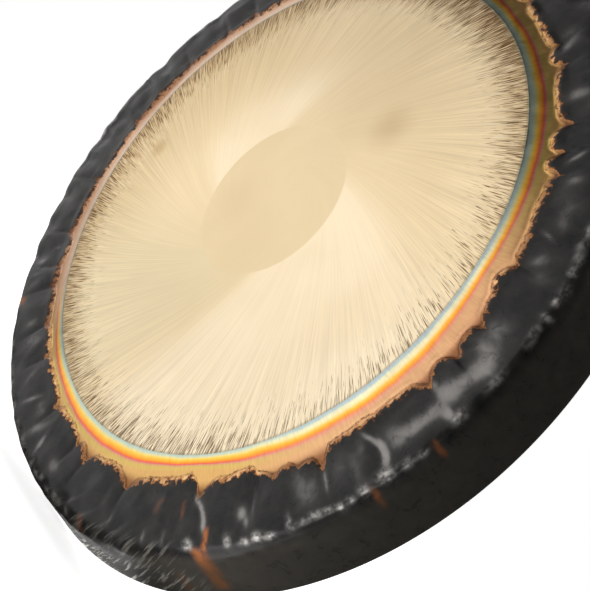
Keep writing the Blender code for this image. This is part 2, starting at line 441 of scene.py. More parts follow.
# ---------------------------------------------------------------- gong_rim: band, shoulder, corner and wall
def make_rim():
    outer_s = np.concatenate([
        np.linspace(0.0, 0.012, 7), np.linspace(0.0140, 0.088, 43), np.linspace(0.0905, S_END - 0.0007, 11),
    ])
    rows = []
    alpha = ALPHA
    for s in outer_s:
        p, n = section_at(s)
        lift = displacement(alpha, np.full(AROUND, p[0]), np.full(AROUND, s))
        rows.append(ring_points(p[0] + n[0] * lift, p[1] + n[1] * lift, alpha))
    p, n = section_at(S_END)
    last = displacement(alpha, np.full(AROUND, p[0]), np.full(AROUND, S_END))
    tangent = np.array([-n[1], n[0]])
    uneven = 1.0 - 0.25 * (0.5 + 0.5 * ring_noise(alpha / math.tau, np.zeros(AROUND), 90, 1, 52))
    for inset, back in ((0.00018, 0.00018), (0.0005, 0.0), (SHEET - 0.0005, 0.0), (SHEET - 0.00018, 0.00018)):
        q = p - n * inset - tangent * back
        lift = last * uneven
        rows.append(ring_points(q[0] + n[0] * lift, q[1] + n[1] * lift, alpha))
    inner_s = np.concatenate([
        np.linspace(S_END - 0.0012, 0.0905, 8), np.linspace(0.088, 0.016, 22), np.linspace(0.012, 0.0, 4),
    ])
    for s in inner_s:
        p, n = section_at(s)
        q = p - n * SHEET
        lift = displacement(alpha, np.full(AROUND, p[0]), np.full(AROUND, s)) * 0.85
        rows.append(ring_points(q[0] + n[0] * lift, q[1] + n[1] * lift, alpha))
    rings = np.stack(rows)
    count = len(rows)
    obj = skin("gong_rim", rings, {0, count - 1}, True)
    # what each ring is: distance over the surface, radius and side of the sheet
    s_all = np.concatenate([outer_s, [S_END] * 4, inner_s])
    side = np.concatenate([np.zeros(len(outer_s) + 2), np.ones(len(inner_s) + 2)])
    bm = bmesh.new()
    bm.from_mesh(obj.data)
    bmesh.ops.recalc_face_normals(bm, faces=bm.faces)
    bm.to_mesh(obj.data)
    bm.free()
    tree = kdtree.KDTree(count * AROUND)
    flat = rings.reshape(-1, 3)
    for k in range(0, len(flat)):
        tree.insert(flat[k], k)
    tree.balance()
    drill(obj)
    finish_attributes(obj, tree, s_all, side, outer_s)
    return obj


def sheen_and_rub_places():
    """Painted sheen: places where the black skin takes grey patches that stand in for its satin highlights and is
    rubbed partly to metal, and smaller painted highlight spots along the turn.

    Each is (phi, distance over the surface, half-width in degrees, half-length in mm, slant, strength).
    """
    painted_sheen_and_rub = [
        (-48.0, 31, 0.55, 5, 0.0, 0.6), (-46.9, 37, 0.55, 6, 0.15, 0.7), (-45.7, 45, 0.55, 7, 0.08, 0.75),
        (-45.3, 53, 0.5, 6, 0.0, 0.7), (-38.5, 48, 0.8, 5, 0.0, 0.8), (-37.5, 55, 0.5, 5, 0.0, 0.6),
        (-36.4, 43, 0.35, 12, 0.0, 0.35), (-28.5, 39, 1.6, 10, 0.0, 0.35), (-26.0, 47, 1.5, 10, 0.0, 0.35),
        (-27.5, 53, 1.6, 8, 0.0, 0.30), (-24.0, 47, 0.35, 8, 0.0, 0.75), (-21.5, 43, 1.6, 12, 0.0, 0.30),
        (-19.0, 49, 1.0, 14, 0.0, 0.35), (-17.4, 37, 0.8, 8, 0.0, 0.40), (-16.0, 33, 0.45, 6, 0.1, 0.6),
        (-15.0, 41, 0.45, 7, 0.08, 0.8), (-14.4, 49, 0.5, 8, 0.0, 1.0), (-14.9, 58, 0.6, 7, -0.08, 1.0),
        (-12.0, 47, 1.6, 10, 0.0, 0.6), (-9.5, 50, 2.0, 6, 0.0, 0.75), (-6.0, 51, 2.2, 6, 0.0, 0.85),
        (-2.5, 47, 1.6, 9, 0.0, 0.9), (-3.5, 35, 0.6, 8, 0.0, 0.5), (0.5, 51, 2.2, 6, 0.0, 0.8),
        (3.0, 55, 1.8, 8, 0.0, 0.8), (5.0, 47, 1.5, 12, 0.0, 0.6), (-4.5, 60, 0.8, 5, 0.0, 0.9),
        (8.0, 43, 2.0, 12, 0.0, 0.5), (-64.5, 55, 0.3, 5, 0.0, 0.40), (-56.6, 62, 0.4, 5, 0.0, 0.5),
        (-52.6, 61, 0.4, 6, 0.0, 0.4), (-66.3, 66, 0.4, 9, -0.22, 0.45), (-62.9, 66, 0.4, 9, -0.22, 0.5),
        (-60.6, 67, 0.35, 7, -0.2, 0.4), (-71.0, 64, 0.5, 9, -0.22, 0.4), (-75.0, 58, 0.5, 9, -0.2, 0.35),
        (-73.0, 36, 1.4, 8, 0.0, 0.20), (-68.0, 42, 0.6, 10, 0.0, 0.22), (-58.0, 33, 1.2, 5, 0.0, 0.16),
    ]
    glint_and_wear_spots = [
        (-47.6, 65, 0.45, 3.4, 0.05, 1.0), (-40.7, 65, 0.35, 4.0, 0.0, 0.8), (-37.9, 68, 0.5, 2.2, 0.0, 0.8),
        (-35.8, 67, 0.5, 2.8, 0.0, 1.0), (-33.8, 69, 0.5, 2.2, 0.0, 1.0), (-30.6, 65, 0.3, 5.0, 0.0, 0.6),
        (-28.8, 67, 0.6, 1.8, 0.0, 0.6), (-26.6, 66, 0.6, 2.2, 0.0, 0.9), (-24.8, 67, 0.6, 1.8, 0.0, 0.8),
        (-22.9, 69, 0.4, 2.4, 0.0, 0.9), (-21.2, 68, 0.4, 2.0, 0.0, 0.7), (-19.0, 67, 0.5, 3.0, 0.0, 0.9),
        (-15.6, 66, 0.8, 3.6, 0.0, 0.9), (-12.4, 68, 0.6, 2.6, 0.0, 0.7), (-10.2, 69, 0.5, 2.0, 0.0, 0.6),
        (-3.8, 66, 0.7, 3.4, 0.0, 0.8), (2.6, 67, 0.9, 2.2, 0.0, 0.7),
    ]
    rng = np.random.RandomState(64)
    at = 14.0
    while at < 274.0:
        at += rng.uniform(1.2, 6.0)
        place = (wrapped(at), rng.uniform(34, 60), rng.uniform(0.35, 1.8), rng.uniform(5, 12), rng.uniform(-0.12, 0.12),
                 rng.uniform(0.2, 0.8))
        if not 145.0 < at < 212.0:
            painted_sheen_and_rub.append(place)
    # the far side shows narrow ones that run along the ring
    painted_sheen_and_rub += [(wrapped(at), 33.5, across, 3.0, 0.0, 0.30) for at, across in ((153, 2.2), (163, 2.6), (173, 3.0), (183, 2.2), (191, 3.2), (202, 2.8))]
    at = 6.0
    while at < 284.0:
        at += rng.uniform(1.4, 3.4)
        glint_and_wear_spots.append((wrapped(at), rng.uniform(64.5, 69), rng.uniform(0.3, 0.7), rng.uniform(1.8, 3.6), 0.0, rng.uniform(0.3, 0.95)))
    return painted_sheen_and_rub, [(at, mid, across * 1.5, deep, slant, strength * 0.85) for at, mid, across, deep, slant, strength in glint_and_wear_spots]


def drill(obj):
    """The two suspension holes."""
    made = []
    for side in (-1, 1):
        bm = bmesh.new()
        bmesh.ops.create_cone(bm, cap_ends=True, segments=48, radius1=HOLE_R, radius2=HOLE_R, depth=0.016)
        mesh = bpy.data.meshes.new("drill")
        bm.to_mesh(mesh)
        bm.free()
        tool = bpy.data.objects.new("drill", mesh)
        bpy.context.scene.collection.objects.link(tool)
        tool.matrix_world = placed(*hole_frame(side))
        made.append(tool)
        cut = obj.modifiers.new("hole", "BOOLEAN")
        cut.operation = "DIFFERENCE"
        cut.solver = "EXACT"
        cut.object = tool
    bpy.context.view_layer.update()
    graph = bpy.context.evaluated_depsgraph_get()
    solid = bpy.data.meshes.new_from_object(obj.evaluated_get(graph))
    obj.modifiers.clear()
    old = obj.data
    obj.data = solid
    solid.name = "gong_rim"
    bpy.data.meshes.remove(old)
    for tool in made:
        bpy.data.objects.remove(tool, do_unlink=True)


def finish_attributes(obj, tree, s_all, side, outer_s):
    mesh = obj.data
    points = np.empty(len(mesh.vertices) * 3)
    mesh.vertices.foreach_get("co", points)
    points = points.reshape(-1, 3)
    x, z = points[:, 0] - FACE_CENTRE.x, points[:, 2] - FACE_CENTRE.z
    radius, alpha = np.hypot(x, z), np.arctan2(z, x)
    ring = np.array([tree.find(p)[1] // AROUND for p in points])
    s = s_all[ring]
    inside = side[ring]
    p, _ = section_at(s)
    turn = (alpha / math.tau) % 1.0
    around = np.arange(AROUND + 1) / AROUND
    edge_r = np.interp(turn, around, np.append(EDGE_R, EDGE_R[0]))
    red_r = np.interp(turn, around, np.append(RED_R, RED_R[0]))
    flat_r = p[:, 0]
    heat = (flat_r - FACE_R) / (red_r - FACE_R)
    past = (flat_r - edge_r) * 1000.0
    past = np.where(s > 0.05, 30.0 + (s - 0.05) * 1000.0, past)
    phi, s_mm = wrapped(np.degrees(alpha) + VIEW_SHIFT), s * 1000.0
    sheen_and_rub_fields = []
    for places in sheen_and_rub_places():
        total = np.zeros(len(points))
        for at, mid, across, deep, slant, strength in places:
            away = wrapped(phi - at - slant * (s_mm - mid)) / across
            total += strength * np.exp(-(away ** 2) - ((s_mm - mid) / deep) ** 2)
        sheen_and_rub_fields.append(np.clip(total, 0.0, 1.15) * (inside < 0.5))
    for name, values in (("heat_place", heat), ("past_edge", past), ("along", s_mm), ("inner", inside),
                         ("painted_sheen_and_rub", sheen_and_rub_fields[0]), ("glint_and_wear_spots", sheen_and_rub_fields[1])):
        layer = mesh.attributes.new(name, "FLOAT", "POINT")
        layer.data.foreach_set("value", values.astype(np.float32))


# ---------------------------------------------------------------- grommets
def make_grommet(name, side):
    """A moulded rubber ring with a flange on each side of the sheet."""
    half = SHEET / 2 + GROOVE_GAP
    top = half + GROMMET_FLANGE_T
    groove_r = HOLE_R - GROOVE_RADIAL_GAP
    section = []

    def arc(cr, cz, rad, start, end, steps=6):
        for k in range(steps + 1):
            a = math.radians(start + (end - start) * k / steps)
            section.append((cr + rad * math.cos(a), cz + rad * math.sin(a)))

    edge = 0.00085
    arc(GROMMET_BORE_R + edge, top - edge, edge, 180, 90)
    # a shallow moulded ring in the outer flange
    mid = (GROMMET_BORE_R + GROMMET_FLANGE_R) / 2
    for dr, dz in ((-0.0006, 0.0), (-0.0004, -0.00018), (0.0004, -0.00018), (0.0006, 0.0)):
        section.append((mid + dr, top + dz))
    arc(GROMMET_FLANGE_R - edge, top - edge, edge, 90, 0)
    section.append((GROMMET_FLANGE_R - 0.00008, half + 0.00012))
    section.append((GROMMET_FLANGE_R - 0.0002, half))
    section.append((groove_r + 0.0002, half))
    section.append((groove_r, half - 0.0002))
    section.append((groove_r, -half + 0.0002))
    section.append((groove_r + 0.0002, -half))
    section.append((GROMMET_FLANGE_R - 0.0002, -half))
    section.append((GROMMET_FLANGE_R - 0.00008, -half - 0.00012))
    arc(GROMMET_FLANGE_R - edge, -top + edge, edge, 0, -90)
    arc(GROMMET_BORE_R + edge, -top + edge, edge, -90, -180)
    steps = 72
    m = placed(*hole_frame(side))
    a = np.arange(steps) / steps * math.tau
    rings = []
    for r, z in section:
        wob = 1 + 0.004 * np.sin(3 * a + side)
        ring = np.stack([r * wob * np.cos(a), r * wob * np.sin(a), np.full(steps, z)], 1)
        rings.append([tuple(m @ Vector(v)) for v in ring])
    rings = np.array(rings)
    obj = skin(name, rings, set(), True)
    bm = bmesh.new()
    bm.from_mesh(obj.data)
    bmesh.ops.recalc_face_normals(bm, faces=bm.faces)
    for e in bm.edges:
        if len(e.link_faces) == 2 and e.calc_face_angle() > math.radians(38):
            e.smooth = False
    bm.to_mesh(obj.data)
    bm.free()
    return obj


# ---------------------------------------------------------------- materials
def linear(r, g, b):
    """sRGB 0..255 to linear."""
    out = []
    for c in (r, g, b):
        c = c / 255.0
        out.append(c / 12.92 if c <= 0.04045 else ((c + 0.055) / 1.055) ** 2.4)
    return (*out, 1.0)


class Graph:
    """A node material under construction."""

    def __init__(self, name):
        self.material = bpy.data.materials.new(name)
        self.material.use_nodes = True
        self.tree = self.material.node_tree
        self.shader = self.tree.nodes["Principled BSDF"]

    def node(self, kind, **props):
        made = self.tree.nodes.new(kind)
        for key, value in props.items():
            setattr(made, key, value)
        return made

    def put(self, socket, value):
        if isinstance(value, bpy.types.NodeSocket):
            self.tree.links.new(value, socket)
        elif isinstance(value, (tuple, list)) and len(value) == 3 and socket.type == "RGBA":
            socket.default_value = (*value, 1.0)
        else:
            socket.default_value = value

    def math(self, op, a, b=None, c=None, clamp=False):
        made = self.node("ShaderNodeMath", operation=op, use_clamp=clamp)
        self.put(made.inputs[0], a)
        if b is not None:
            self.put(made.inputs[1], b)
        if c is not None:
            self.put(made.inputs[2], c)
        return made.outputs[0]

    def step(self, x, low, high):
        made = self.node("ShaderNodeMapRange", interpolation_type="SMOOTHSTEP")
        self.put(made.inputs["Value"], x)
        self.put(made.inputs["From Min"], low)
        self.put(made.inputs["From Max"], high)
        return made.outputs["Result"]

    def span(self, x, low, high, to_low, to_high):
        made = self.node("ShaderNodeMapRange", interpolation_type="LINEAR")
        self.put(made.inputs["Value"], x)
        self.put(made.inputs["From Min"], low)
        self.put(made.inputs["From Max"], high)
        self.put(made.inputs["To Min"], to_low)
        self.put(made.inputs["To Max"], to_high)
        return made.outputs["Result"]

    def mix(self, factor, a, b, blend="MIX"):
        made = self.node("ShaderNodeMix", data_type="RGBA", blend_type=blend)
        self.put(made.inputs[0], factor)
        self.put(made.inputs[6], a)
        self.put(made.inputs[7], b)
        return made.outputs[2]

    def vector(self, x, y, z):
        made = self.node("ShaderNodeCombineXYZ")
        for socket, value in zip(made.inputs, (x, y, z)):
            self.put(socket, value)
        return made.outputs[0]

    def noise(self, vector, scale, detail=2.0, rough=0.5, distortion=0.0):
        made = self.node("ShaderNodeTexNoise", noise_dimensions="3D")
        self.put(made.inputs["Vector"], vector)
        self.put(made.inputs["Scale"], scale)
        self.put(made.inputs["Detail"], detail)
        self.put(made.inputs["Roughness"], rough)
        self.put(made.inputs["Distortion"], distortion)
        return made.outputs["Fac"]

    def ramp(self, factor, stops, interpolation="LINEAR"):
        made = self.node("ShaderNodeValToRGB")
        made.color_ramp.interpolation = interpolation
        elements = made.color_ramp.elements
        while len(elements) > 1:
            elements.remove(elements[-1])
        elements[0].position, elements[0].color = stops[0]
        for at, colour in stops[1:]:
            added = elements.new(at)
            added.color = colour
        self.put(made.inputs["Fac"], factor)
        return made.outputs["Color"]

    def attribute(self, name):
        made = self.node("ShaderNodeAttribute", attribute_type="GEOMETRY", attribute_name=name)
        return made.outputs["Fac"]

    def polar(self):
        """Object coordinates about the gong's axis: x, z, radius and angle, and depth behind the face."""
        where = self.node("ShaderNodeTexCoord").outputs["Object"]
        parts = self.node("ShaderNodeSeparateXYZ")
        self.put(parts.inputs[0], where)
        x = parts.outputs[0]
        z = self.math("SUBTRACT", parts.outputs[2], FACE_CENTRE.z)
        depth = self.math("SUBTRACT", parts.outputs[1], FACE_CENTRE.y)
        radius = self.math("SQRT", self.math("ADD", self.math("MULTIPLY", x, x), self.math("MULTIPLY", z, z)))
        angle = self.math("ARCTAN2", z, x)
        return x, z, radius, angle, depth

    def bump(self, height, strength, distance, normal=None):
        made = self.node("ShaderNodeBump")
        self.put(made.inputs["Height"], height)
        self.put(made.inputs["Strength"], strength)
        self.put(made.inputs["Distance"], distance)
        if normal is not None:
            self.put(made.inputs["Normal"], normal)
        return made.outputs[0]

    def near(self, angle, at, width):
        """1 close to an angle (radians), falling to 0 at width, without a seam."""
        off = self.math("COSINE", self.math("SUBTRACT", angle, math.radians(at)))
        return self.step(off, math.cos(math.radians(width)), 1.0)


def bronze_material():
    g = Graph("bronze_brushed")
    x, z, r, angle, depth = g.polar()
    safe = g.math("MAXIMUM", r, 0.03)
    swirl = g.math("DIVIDE", SWIRL, safe)
    beta = g.math("SUBTRACT", angle, swirl)
    cb, sb = g.math("COSINE", beta), g.math("SINE", beta)

    def strokes(a, b, detail=2.0, rough=0.55, shift=0.0):
        return g.noise(
            g.vector(g.math("MULTIPLY", cb, a), g.math("MULTIPLY", sb, a), g.math("MULTIPLY_ADD", r, b, shift)),
            1.0, detail, rough,
        )

    off_centre = g.step(r, CENTRE_R - 0.0005, CENTRE_R + 0.0007)
    # strokes of several widths
    hair = strokes(118.0, 15.0)
    thin = strokes(50.0, 12.0, shift=3.1)
    broad = strokes(17.0, 7.0, detail=1.0, shift=7.7)
    hair_c = g.math("SUBTRACT", hair, 0.5)
    thin_c = g.math("SUBTRACT", thin, 0.5)
    broad_c = g.math("SUBTRACT", broad, 0.5)
    out_r = g.step(r, 0.085, 0.205)
    amount = g.math("MULTIPLY", off_centre, g.span(out_r, 0.0, 1.0, 0.35, 1.0))
    tone = g.math("MULTIPLY_ADD", hair_c, 0.50, g.math("MULTIPLY_ADD", thin_c, 0.20, g.math("MULTIPLY", broad_c, 0.10)))
    tone = g.math("MULTIPLY_ADD", tone, amount, 1.0)

    # ground colour
    ground = (*linear(231, 209, 170)[:3],)
    pale = (*linear(246, 229, 198)[:3],)
    dull = (*linear(214, 190, 146)[:3],)
    painted_cool_tint = (*linear(223, 209, 172)[:3],)
    soft = g.noise(g.vector(g.math("MULTIPLY", x, 9.0), g.math("MULTIPLY", z, 9.0), 0.0), 1.0, 3.0, 0.5)
    # painted highlight: the bright fan that the brushing's reflection opens low on the right, and its fainter opposite
    painted_highlight_fan = g.near(beta, -60.0, 62.0)
    painted_highlight_fan = g.math("MULTIPLY", g.step(painted_highlight_fan, 0.05, 0.75), off_centre)
    painted_highlight_fan_opposite = g.math("MULTIPLY", g.step(g.near(beta, 112.0, 48.0), 0.1, 0.9),
                  g.math("MULTIPLY", off_centre, g.math("SUBTRACT", 1.0, g.step(r, 0.085, 0.150))))
    colour = g.mix(g.math("MULTIPLY", painted_highlight_fan, 0.75), ground, pale)
    colour = g.mix(g.math("MULTIPLY", painted_highlight_fan_opposite, 0.7), colour, pale)
    # painted shade and reflection: a duller wedge where the brushed reflection is dark, and a cool-tinted wedge that
    # stands for the reflection's cooler tint
    painted_dull_wedge = g.math("MULTIPLY", g.near(beta, 22.0, 50.0), g.math("MULTIPLY", off_centre, g.math("SUBTRACT", 1.0, g.step(r, 0.13, 0.21))))
    painted_cool_wedge = g.math("MULTIPLY", g.near(beta, -145.0, 45.0), off_centre)
    colour = g.mix(g.math("MULTIPLY", painted_dull_wedge, 0.12), colour, dull)
    colour = g.mix(g.math("MULTIPLY", painted_cool_wedge, 0.5), colour, painted_cool_tint)
    # painted shade: duller towards the top and darker towards the far side
    top = g.math("MULTIPLY", g.near(angle, 120.0, 75.0), g.step(r, 0.10, 0.20))
    colour = g.mix(g.math("MULTIPLY", top, 0.08), colour, dull)
    painted_shade_far_side = g.math("MULTIPLY", g.near(angle, 178.0, 60.0), g.step(r, 0.10, 0.20))
    colour = g.mix(g.math("MULTIPLY", painted_shade_far_side, 0.95), colour, (*linear(208, 184, 142)[:3],))
    colour = g.mix(g.math("MULTIPLY", g.step(soft, 0.42, 0.72), 0.22), colour, dull)

    # outer zone darkens and browns, more on the far side: partly painted shade, partly a browner outer finish
    outer = g.step(r, 0.183, 0.2195)
    not_near = g.math("SUBTRACT", 1.0, g.near(angle, -28.0, 95.0))
    outer_brown_and_shade = (*linear(176, 143, 92)[:3],)
    colour = g.mix(g.math("MULTIPLY", g.math("MULTIPLY", outer, not_near), 0.62), colour, outer_brown_and_shade)

    # tool marks: short dark dashes towards the edge
    dash_n = strokes(360.0, 88.0, detail=0.0, rough=0.4, shift=11.0)
    dash_w = strokes(230.0, 48.0, detail=0.0, rough=0.4, shift=19.0)
    crowd = g.math("MULTIPLY_ADD", g.step(r, 0.188, 0.218), 0.16, -0.03)
    upper = g.near(angle, 82.0, 36.0)
    crowd = g.math("MULTIPLY_ADD", g.math("MULTIPLY", upper, g.step(r, 0.165, 0.200)), 0.09, crowd)
    crowd = g.math("MULTIPLY_ADD", g.near(angle, -8.0, 48.0), -0.075, crowd)
    level = g.math("ADD", dash_n, crowd)
    dash = g.math("MULTIPLY", g.step(level, 0.665, 0.725), g.step(r, 0.168, 0.200))
    level_w = g.math("ADD", dash_w, crowd)
    dash2 = g.math("MULTIPLY", g.step(level_w, 0.70, 0.76), g.step(r, 0.180, 0.205))
    ink = (*linear(98, 68, 36)[:3],)
    # painted highlight: a whitish glint between the dashes towards the edge
    painted_glint = g.math("MULTIPLY", g.math("SUBTRACT", 1.0, g.step(dash_n, 0.28, 0.44)), g.step(r, 0.170, 0.200))
    colour = g.mix(g.math("MULTIPLY", painted_glint, 0.28), colour, (*linear(255, 246, 226)[:3],))
    colour = g.mix(g.math("MULTIPLY", dash, 0.85), colour, ink)
    colour = g.mix(g.math("MULTIPLY", dash2, 0.55), colour, ink)

    # two old stains
    def blot(at, radius_mm, size, strength, colour):
        bx = radius_mm * 0.001 * math.cos(math.radians(at))
        bz = radius_mm * 0.001 * math.sin(math.radians(at))
        dx, dz = g.math("SUBTRACT", x, bx), g.math("SUBTRACT", z, bz)
        away = g.math("SQRT", g.math("ADD", g.math("MULTIPLY", dx, dx), g.math("MULTIPLY", dz, dz)))
        away = g.math("MULTIPLY_ADD", g.math("SUBTRACT", soft, 0.5), size * 0.9, away)
        return g.mix(g.math("MULTIPLY", g.math("SUBTRACT", 1.0, g.step(away, 0.0, size)), strength), colour,
                     (*linear(168, 132, 84)[:3],))

    colour = blot(62.0, 111.0, 0.030, 0.30, colour)
    colour = blot(189.0, 177.0, 0.012, 0.45, colour)
    colour = blot(203.0, 38.0, 0.034, 0.10, colour)

    # a grey-green line where the brushing stops at the edge
    rim_line = g.step(r, 0.2176, 0.2196)
    colour = g.mix(g.math("MULTIPLY", rim_line, 0.55), colour, (*linear(150, 140, 112)[:3],))

    colour = g.mix(1.0, colour, g.vector(tone, tone, tone), "MULTIPLY")

    # the back of the disc: dull, mottled bronze
    behind = g.step(depth, 0.0006, 0.0010)
    mottle = g.noise(g.vector(g.math("MULTIPLY", x, 16.0), g.math("MULTIPLY", z, 16.0), 3.0), 1.0, 5.0, 0.6)
    rings_n = g.noise(g.vector(g.math("MULTIPLY", r, 230.0), g.math("MULTIPLY", cb, 1.6), g.math("MULTIPLY", sb, 1.6)), 1.0, 2.0, 0.5)
    back = g.mix(g.step(mottle, 0.35, 0.68), (*linear(150, 112, 66)[:3],), (*linear(96, 70, 44)[:3],))
    back = g.mix(g.math("MULTIPLY", g.step(rings_n, 0.45, 0.7), 0.35), back, (*linear(184, 146, 92)[:3],))
    colour = g.mix(behind, colour, back)

    rough = g.span(thin, 0.3, 0.7, 0.30, 0.40)
    rough = g.math("MULTIPLY_ADD", dash, 0.12, rough)
    rough = g.math("MULTIPLY_ADD", behind, 0.10, rough)
    rough = g.math("MULTIPLY_ADD", g.math("SUBTRACT", 1.0, off_centre), 0.06, rough)

    height = g.math("MULTIPLY_ADD", hair, 0.5, g.math("MULTIPLY", thin, 0.8))
    height = g.math("MULTIPLY", height, amount)
    height = g.math("MULTIPLY_ADD", dash, -0.5, height)
    # circular arcs left by turning inside the middle circle
    arcs = g.noise(g.vector(g.math("MULTIPLY", r, 420.0), 0.0, 0.0), 1.0, 2.0, 0.5)
    height = g.math("MULTIPLY_ADD", g.math("MULTIPLY", arcs, g.math("SUBTRACT", 1.0, off_centre)), 0.12, height)
    normal = g.bump(height, 0.45, 0.00006)

    s = g.shader
    g.put(s.inputs["Base Color"], colour)
    s.inputs["Metallic"].default_value = 1.0
    g.put(s.inputs["Roughness"], rough)
    s.inputs["Anisotropic"].default_value = 0.55
    tangent = g.node("ShaderNodeTangent", direction_type="RADIAL", axis="Y")
    even = g.node("ShaderNodeMix", data_type="VECTOR")
    g.put(even.inputs[0], off_centre)
    even.inputs[4].default_value = (0.985, 0.0, -0.174)
    g.put(even.inputs[5], tangent.outputs[0])
    g.put(s.inputs["Tangent"], even.outputs[1])
    turn = g.math("DIVIDE", g.math("ARCTANGENT", swirl), math.tau)
    g.put(s.inputs["Anisotropic Rotation"], g.math("MULTIPLY", turn, off_centre))
    g.put(s.inputs["Normal"], normal)
    return g.material


def rim_material():
    g = Graph("bronze_blackened")
    x, z, r, angle, depth = g.polar()
    heat = g.attribute("heat_place")
    past = g.attribute("past_edge")
    along = g.attribute("along")
    inner = g.attribute("inner")
    ca, sa = g.math("COSINE", angle), g.math("SINE", angle)

    def polar_noise(a, b, detail=2.0, rough=0.5, shift=0.0, distortion=0.0):
        return g.noise(
            g.vector(g.math("MULTIPLY", ca, a), g.math("MULTIPLY", sa, a), g.math("MULTIPLY_ADD", along, b, shift)),
            1.0, detail, rough, distortion,
        )

    # heat colours, in order from the face outwards
    wave = polar_noise(9.0, 0.05, 2.0, 0.5, 1.0)
    wave2 = polar_noise(40.0, 0.2, 2.0, 0.5, 5.0)
    q = g.math("MULTIPLY_ADD", g.math("SUBTRACT", wave, 0.5), 0.22, heat)
    q = g.math("MULTIPLY_ADD", g.math("SUBTRACT", wave2, 0.5), 0.10, q)
    stops = [
        (0.000, linear(112, 122, 112)),
        (0.030, linear(150, 162, 150)),
        (0.080, linear(178, 196, 186)),
        (0.160, linear(190, 206, 190)),
        (0.225, linear(214, 212, 168)),
        (0.290, linear(240, 212, 120)),
        (0.360, linear(255, 200, 84)),
        (0.430, linear(254, 176, 66)),
        (0.490, linear(244, 140, 56)),
        (0.540, linear(228, 104, 76)),
        (0.585, linear(216, 118, 122)),
        (0.640, linear(210, 158, 116)),
        (0.710, linear(208, 178, 100)),
        (0.800, linear(210, 178, 102)),
        (0.900, linear(214, 174, 106)),
        (1.000, linear(214, 168, 106)),
    ]
    # the blue-green at the face's edge is narrower low on the left
    q = g.math("MULTIPLY_ADD", g.math("MULTIPLY", g.step(g.near(angle, -68.0, 46.0), 0.0, 0.7), g.math("SUBTRACT", 1.0, g.step(q, 0.45, 0.9))), 0.13, q)
    right = g.near(angle, -8.0, 40.0)
    q = g.math("MULTIPLY_ADD", g.math("MULTIPLY", right, g.math("SUBTRACT", 1.0, g.step(q, 0.45, 0.9))), 0.08, q)
    # the ramp spans q 0..1.7
    band = g.ramp(g.math("DIVIDE", q, 1.7, clamp=True), stops, "B_SPLINE")
    # paler and pinker round the far side
    far = g.near(angle, 178.0, 75.0)
    pink = g.ramp(g.math("DIVIDE", q, 1.9, clamp=True), [
        (0.0, linear(120, 96, 70)), (0.07, linear(226, 200, 176)), (0.4, linear(232, 198, 168)),
        (0.75, linear(222, 176, 138)), (1.0, linear(206, 158, 126)),
    ])
    band = g.mix(g.math("MULTIPLY", g.step(far, 0.0, 0.6), 0.9), band, pink)
    # paler on the right, where the colours nearest the face turn towards lilac
    lilac = g.math("MULTIPLY", g.near(angle, -4.0, 40.0), g.math("SUBTRACT", 1.0, g.step(q, 0.14, 0.40)))
    band = g.mix(g.math("MULTIPLY", lilac, 0.55), band, (*linear(180, 196, 212)[:3],))
    cream = g.math("MULTIPLY", g.step(q, 0.20, 0.36), g.math("SUBTRACT", 1.0, g.step(q, 0.46, 0.72)))
    band = g.mix(g.math("MULTIPLY", g.math("MULTIPLY", right, cream), 0.65), band, (*linear(250, 240, 204)[:3],))
    band = g.mix(g.math("MULTIPLY", g.math("MULTIPLY", right, g.step(q, 0.74, 0.98)), 0.72), band, (*linear(226, 170, 134)[:3],))
    # darker and redder where the band runs out between the lobes
    deep = g.step(along, 17.5, 27.0)
    band = g.mix(g.math("MULTIPLY", deep, 0.9), band, (*linear(132, 84, 54)[:3],))
    streak = polar_noise(150.0, 0.12, 2.0, 0.5, 2.0)
    tone = g.span(streak, 0.3, 0.7, 0.93, 1.06)
    band = g.mix(1.0, band, g.vector(tone, tone, tone), "MULTIPLY")

    # the black skin
    cloud = polar_noise(26.0, 0.09, 5.0, 0.6, 4.0, 0.4)
    fine = polar_noise(140.0, 0.5, 3.0, 0.6, 9.0)
    black = g.mix(g.step(cloud, 0.35, 0.72), (*linear(26, 26, 26)[:3],), (*linear(42, 40, 38)[:3],))
    black = g.mix(g.math("MULTIPLY", g.step(fine, 0.6, 0.8), 0.3), black, (*linear(60, 54, 47)[:3],))
    black = g.mix(g.math("MULTIPLY", g.step(along, 70.0, 80.0), 0.8), black, g.mix(cloud, (*linear(50, 48, 44)[:3],), (*linear(78, 74, 67)[:3],)))

    # where the band gives way to the skin: a painted copper highlight on the lobes' front edges, brown, then black
    rag = polar_noise(84.0, 0.32, 3.0, 0.6, 14.0)
    rag2 = polar_noise(34.0, 0.2, 2.0, 0.5, 15.0)
    e = g.math("MULTIPLY_ADD", g.math("SUBTRACT", rag, 0.5), 3.4, past)
    e = g.math("MULTIPLY_ADD", g.math("SUBTRACT", rag2, 0.5), 3.2, e)
    patch = polar_noise(46.0, 0.16, 3.0, 0.6, 17.0)
    patch2 = g.step(polar_noise(90.0, 0.30, 3.0, 0.6, 19.0), 0.42, 0.62)
    crease = g.math("MULTIPLY", g.step(e, -1.8, -0.8), g.math("SUBTRACT", 1.0, g.step(e, -0.6, 0.4)))
    highlight_copper = (*linear(236, 190, 138)[:3],)
    amber = (*linear(172, 118, 74)[:3],)
    rust = (*linear(84, 56, 40)[:3],)
